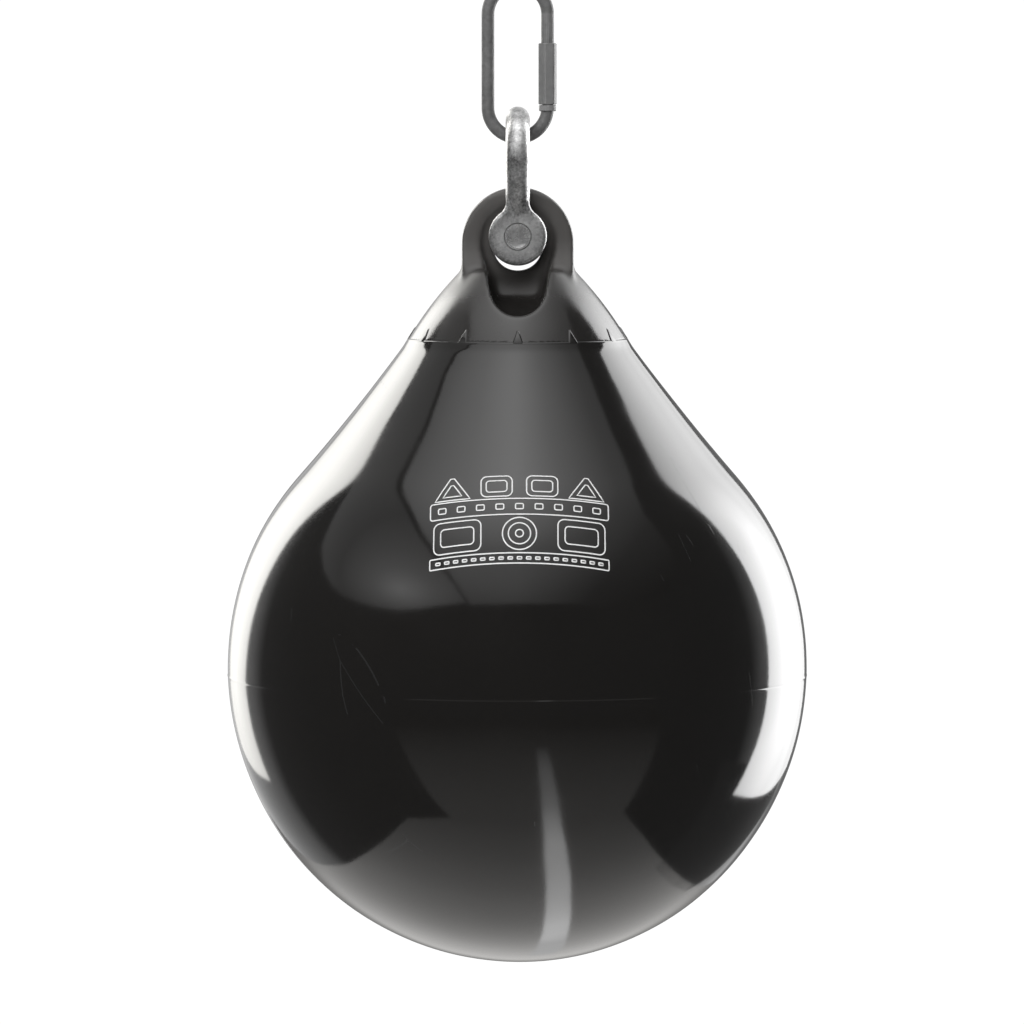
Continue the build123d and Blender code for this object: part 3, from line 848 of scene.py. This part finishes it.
def make_mark():
    shape = bmesh.new()
    for path in drawing:
        pairs = line_pairs(path)
        outer = [shape.verts.new(onto_the_bag(*p)) for p, _ in pairs]
        inner = [shape.verts.new(onto_the_bag(*p)) for _, p in pairs]
        for i in range(len(pairs)):
            j = (i + 1) % len(pairs)
            shape.faces.new((outer[i], outer[j], inner[j], inner[i]))
    mesh = bpy.data.meshes.new("front_mark")
    shape.to_mesh(mesh)
    shape.free()
    mark = link_object("front_mark", mesh)
    add_waves(mark)
    film = mark.modifiers.new("film", "SOLIDIFY")
    film.thickness = INK_THICK
    film.offset = 1.0
    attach(mark, "bag")
    return mark


# %% [markdown]
# Screen ink is an opaque white film, a little less glossy than the vinyl below it. On a bag that is hit it
# wears through in pinholes first, so a fine noise lets some grey show.


# %% Ink
def make_ink_material():
    """White screen ink, a little worn, so that a few pinholes of black show through."""
    material, tree, shader, where = new_material("white_ink", IOR=1.45)
    grain = use_group(tree, grain_group, {"Vector": where, "Grain Scale": 1500.0, "Blotch Scale": 60.0})
    worn = ramp(tree, grain["Value"], [(0.3, 0.0), (0.42, 1.0)])
    tree.links.new(blend_colour(tree, worn, grey(150), grey(240)), shader.inputs["Base Color"])
    tree.links.new(ramp(tree, grain["Blotch"], [(0.3, 0.35), (0.7, 0.5)]), shader.inputs["Roughness"])
    return material


mark = make_mark()
mark.data.materials.append(make_ink_material())
print("mark faces", len(mark.data.polygons))

# %% [markdown]
# ## The eye cap
# The cap is one solid casting: a shoulder, a round-topped lug with a dished face for the shackle's ear, and
# the eye. A mould maker rounds every corner of such a thing, more than a plain solid has. So its mesh is
# copied from the frame, its twelve key pockets are plugged, and it is remeshed into even small squares that
# can be relaxed.

# %% Cap mesh
CAP_VOXEL = 1.4 * MM
WELD = 0.01 * MM
PLUG_BASE, PLUG_HEIGHT = 13.0 * MM, 15.0 * MM
PLUG_DEEP, PLUG_SHY = 3.5 * MM, 0.02 * MM  # how far a block reaches in, and how far it stays below flush


def even_mesh(shape, voxel):
    """Remeshes a closed shape into squares of one size and returns the mesh."""
    mesh = bpy.data.meshes.new("helper")
    shape.to_mesh(mesh)
    helper = bpy.data.objects.new("helper", mesh)
    bpy.context.collection.objects.link(helper)
    remesh = helper.modifiers.new("remesh", "REMESH")
    remesh.mode = "VOXEL"
    remesh.voxel_size = voxel
    depsgraph = bpy.context.evaluated_depsgraph_get()
    even = bpy.data.meshes.new_from_object(helper.evaluated_get(depsgraph))
    bpy.data.objects.remove(helper)
    even.materials.clear()
    return even


def plugged_cap():
    """A copy of the frame's cap with a block in each key pocket, flush with the shoulder."""
    shape = bmesh.new()
    shape.from_mesh(nodes["eye_cap"].data)
    bmesh.ops.remove_doubles(shape, verts=shape.verts[:], dist=WELD)
    for index in range(KEY_COUNT):
        plug = bmesh.new()
        add_wedge(plug, index, PLUG_BASE, PLUG_HEIGHT, PLUG_DEEP, -PLUG_SHY, 0.0)
        bmesh.ops.recalc_face_normals(plug, faces=plug.faces[:])
        part = bpy.data.meshes.new("plug")
        plug.to_mesh(part)
        plug.free()
        shape.from_mesh(part)
        bpy.data.meshes.remove(part)
    return shape


cap_shape = plugged_cap()
cap = link_object("eye_cap_cast", even_mesh(cap_shape, CAP_VOXEL))
cap_shape.free()
print("cap squares", len(cap.data.polygons))

# %% [markdown]
# Two Smooth modifiers relax the cap. The first acts in the inside corners, which gives them the wide fillets
# of a casting. The second acts gently all over. Neither moves the lower edge, where the cap meets the skin.

# %% Where the cap is relaxed
SMOOTH_FROM, SMOOTH_FULL = LAP_Z + 3 * MM, LAP_Z + 12 * MM
DIP_FULL = 0.06  # how hollow a point is, as a share of a square, when it counts in full
SPREAD_GAIN = 1.02  # keeps the corners' mask from fading as it spreads
FILLET_TIMES, SOFT_TIMES, HALF_WAY = 70, 16, 0.5


def hollowness(mesh, spread=6):
    """For each point, 0 on flats and ridges and up to 1 in inside corners, spread to near points."""
    count = len(mesh.vertices)
    place = np.empty(count * 3)
    mesh.vertices.foreach_get("co", place)
    place = place.reshape(count, 3)
    out = np.empty(count * 3)
    mesh.vertex_normals.foreach_get("vector", out)
    out = out.reshape(count, 3)
    edges = np.empty(len(mesh.edges) * 2, dtype=np.int64)
    mesh.edges.foreach_get("vertices", edges)
    one, two = edges.reshape(-1, 2).T
    near = np.zeros(count)
    np.add.at(near, one, 1)
    np.add.at(near, two, 1)

    def average(values):
        total = np.zeros_like(values)
        np.add.at(total, one, values[two])
        np.add.at(total, two, values[one])
        return (total.T / near).T

    dip = ((average(place) - place) * out).sum(axis=1) / CAP_VOXEL
    level = np.clip(dip / DIP_FULL, 0, 1)
    for _ in range(spread):
        level = np.maximum(level, SPREAD_GAIN * average(level)).clip(0, 1)
    return level


all_over = cap.vertex_groups.new(name="all_over")
corners = cap.vertex_groups.new(name="inside_corners")
for vertex, level in zip(cap.data.vertices, hollowness(cap.data)):
    weight = max(0.0, min(1.0, (vertex.co.z - SMOOTH_FROM) / (SMOOTH_FULL - SMOOTH_FROM)))
    all_over.add([vertex.index], weight, "REPLACE")
    corners.add([vertex.index], weight * float(level), "REPLACE")


def relax(thing, name, group, times):
    """A Smooth modifier that acts where a vertex group says."""
    step = thing.modifiers.new(name, "SMOOTH")
    step.factor, step.iterations, step.vertex_group = HALF_WAY, times, group


relax(cap, "fillets", "inside_corners", FILLET_TIMES)
relax(cap, "soft", "all_over", SOFT_TIMES)
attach(cap, "bag")
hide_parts("eye_cap")
print("the cap has", [modifier.name for modifier in cap.modifiers])

# %% [markdown]
# The cap is the same vinyl as the skin, but only its shoulder was cast against a polished mould. Towards the
# lug it turns dull, rubbed by the shackle, and the lug is painted a lighter grey: a painted sheen for the
# light that its rounded faces catch from above.

# %% Cap material
DULL_FROM, DULL_FULL = -0.252, -0.222  # heights in metres between which the gloss goes
SHEEN_FROM, SHEEN_FULL = -0.226, -0.204  # and between which a painted sheen turns the tone grey
BLOTCH_REACH = 0.006  # how far the noise shifts both borders


def between(tree, value, low, high):
    """A mask that rises softly from 0 at low to 1 at high."""
    rise = {"Value": value, "From Min": low, "From Max": high}
    return put(tree, "ShaderNodeMapRange", rise, interpolation_type="SMOOTHSTEP").outputs["Result"]


def make_cap_material():
    """The cap's vinyl: glossy like the skin on the shoulder, rubbed dull on the lug, and painted greyer there
    as a painted sheen.
    """
    material, tree, shader, where = new_material("cap_vinyl", IOR=1.5)
    grain = use_group(tree, grain_group, {"Vector": where, "Grain Scale": 700.0, "Blotch Scale": 22.0})
    worn = use_group(tree, edge_group, {"Vector": where, "Low": 0.53, "High": 0.62})["Mask"]
    height = put(tree, "ShaderNodeSeparateXYZ", {"Vector": where}).outputs["Z"]
    uneven = math_node(tree, "MULTIPLY_ADD", grain["Blotch"], BLOTCH_REACH)
    tree.links.new(height, uneven.node.inputs[2])
    # By height, the lug is painted a lighter grey: a painted sheen.
    lug = between(tree, uneven, SHEEN_FROM, SHEEN_FULL)
    no_gloss = between(tree, uneven, DULL_FROM, DULL_FULL)
    gloss = blend_colour(tree, grain["Blotch"], grey(34, (1.08, 1.0, 0.95)), grey(42, (1.08, 1.0, 0.94)))
    # The lighter grey given to the lug is painted sheen, not the vinyl's own colour.
    dull = blend_colour(tree, grain["Blotch"], grey(66, (1.05, 1.0, 0.97)), grey(78, (1.05, 1.0, 0.96)))
    body = blend_colour(tree, lug, gloss, dull)
    tree.links.new(blend_colour(tree, worn, body, grey(92)), shader.inputs["Base Color"])
    smooth = ramp(tree, grain["Blotch"], [(0.3, 0.1), (0.7, 0.17)])
    rubbed = ramp(tree, grain["Blotch"], [(0.3, 0.34), (0.7, 0.42)])
    rough = put(tree, "ShaderNodeMix", {0: no_gloss, 2: smooth, 3: rubbed}, data_type="FLOAT").outputs[0]
    tree.links.new(rough, shader.inputs["Roughness"])
    bump(tree, shader, grain["Value"], 0.1, 0.0005)
    return material


cap.data.materials.append(make_cap_material())
print("the cap gets", cap.data.materials[0].name)

# %% [markdown]
# ## Forged and plated steel
# The shackle and its pin are forged and hot galvanised: a grainy, mottled light grey, duller in the hollows
# and bright where it has rubbed. The pin's zinc is painted lighter than the bow's, a painted highlight for
# the light on its end. The link is drawn bar with a dull zinc plate, darker and smoother. These nodes have
# the right shape already, so they keep their meshes, and one function makes each finish.


# %% Steel
def steel_material(name, dark, light, worn_light, rough, grain_scale, depth, metal=0.88, edge=255):
    """Metal with a mottled tone, a grain and brighter edges. A dull coat lowers metal and edge."""
    material, tree, shader, where = new_material(
        name, Metallic=metal, Specular_Tint=grey(edge), Specular_IOR_Level=0.5 * edge / 255
    )
    grain = use_group(
        tree,
        grain_group,
        {"Vector": where, "Grain Scale": grain_scale, "Blotch Scale": grain_scale / 9, "Blotch Share": 0.5},
    )
    worn = use_group(tree, edge_group, {"Vector": where, "Low": 0.5, "High": 0.6})["Mask"]
    mottle = ramp(tree, grain["Value"], [(0.35, 0.0), (0.65, 1.0)])
    mottled = blend_colour(tree, mottle, grey(dark), grey(light))
    tree.links.new(blend_colour(tree, worn, mottled, grey(worn_light)), shader.inputs["Base Color"])
    tone = ramp(tree, grain["Blotch"], [(0.3, rough - 0.1), (0.7, rough + 0.1)])
    tree.links.new(tone, shader.inputs["Roughness"])
    bump(tree, shader, grain["Value"], 0.5, depth)
    return material


def finish_node(name, material):
    """Gives a node of the frame its finish."""
    slots = nodes[name].material_slots
    for entry in slots:
        entry.material = material
    print(name, "gets", material.name, "in", len(slots), "slot")


bow = steel_material("forged_zinc", 70, 225, 245, rough=0.38, grain_scale=520.0, depth=0.0009)
# The pin's zinc is lighter and less metallic than the bow's, so that the front light brightens it: a painted
# highlight.
pin = steel_material("pin_zinc_painted_highlight", 140, 205, 235, rough=0.24, grain_scale=430.0, depth=0.0002, metal=0.75)
PLATE_GRAIN = 260.0
bar = steel_material("plated_bar", 96, 128, 165, 0.46, PLATE_GRAIN, depth=0.00012, metal=0.45, edge=90)
nut = steel_material("plated_nut", 82, 104, 185, 0.4, PLATE_GRAIN, depth=0.0001, metal=0.5, edge=60)
for name, material in (("shackle_bow", bow), ("shackle_pin", pin), ("link_bar", bar), ("link_nut", nut)):
    finish_node(name, material)

# %% [markdown]
# ## The valve and the water
# The fill valve on the back is hard plastic, and its seal is rubber. The water is sealed in, so it never
# shows, but it has its own clear material in case a later scene opens the bag.


# %% Plastics and water
def plastic_material(name, dark, light, rough, grain_scale):
    """Hard moulded plastic or rubber with a fine texture."""
    material, tree, shader, where = new_material(name, IOR=1.46)
    grain = use_group(tree, grain_group, {"Vector": where, "Grain Scale": grain_scale, "Blotch Scale": 60.0})
    worn = use_group(tree, edge_group, {"Vector": where})["Mask"]
    body = blend_colour(tree, grain["Blotch"], grey(dark), grey(light))
    tree.links.new(blend_colour(tree, worn, body, grey(min(255, light + 25))), shader.inputs["Base Color"])
    tone = ramp(tree, grain["Value"], [(0.3, rough), (0.7, rough + 0.12)])
    tree.links.new(tone, shader.inputs["Roughness"])
    bump(tree, shader, grain["Value"], 0.25, 0.0003)
    return material


def make_water_material():
    """Clear water with a faint drift of cloudiness."""
    material, tree, shader, where = new_material(
        "still_water", IOR=1.333, Transmission_Weight=0.9, Roughness=0.02
    )
    grain = use_group(tree, grain_group, {"Vector": where, "Grain Scale": 12.0, "Blotch Scale": 5.0})
    drift = grain["Blotch"]
    colour = blend_colour(tree, drift, (0.75, 0.87, 0.9, 1.0), (0.85, 0.93, 0.95, 1.0))
    tree.links.new(colour, shader.inputs["Base Color"])
    return material


finish_node("valve_seat", plastic_material("seat_plastic", 34, 44, 0.35, 900.0))
finish_node("valve_plug", plastic_material("plug_plastic", 150, 175, 0.4, 900.0))
finish_node("valve_seal", plastic_material("seal_rubber", 26, 32, 0.6, 1300.0))
finish_node("water_fill", make_water_material())
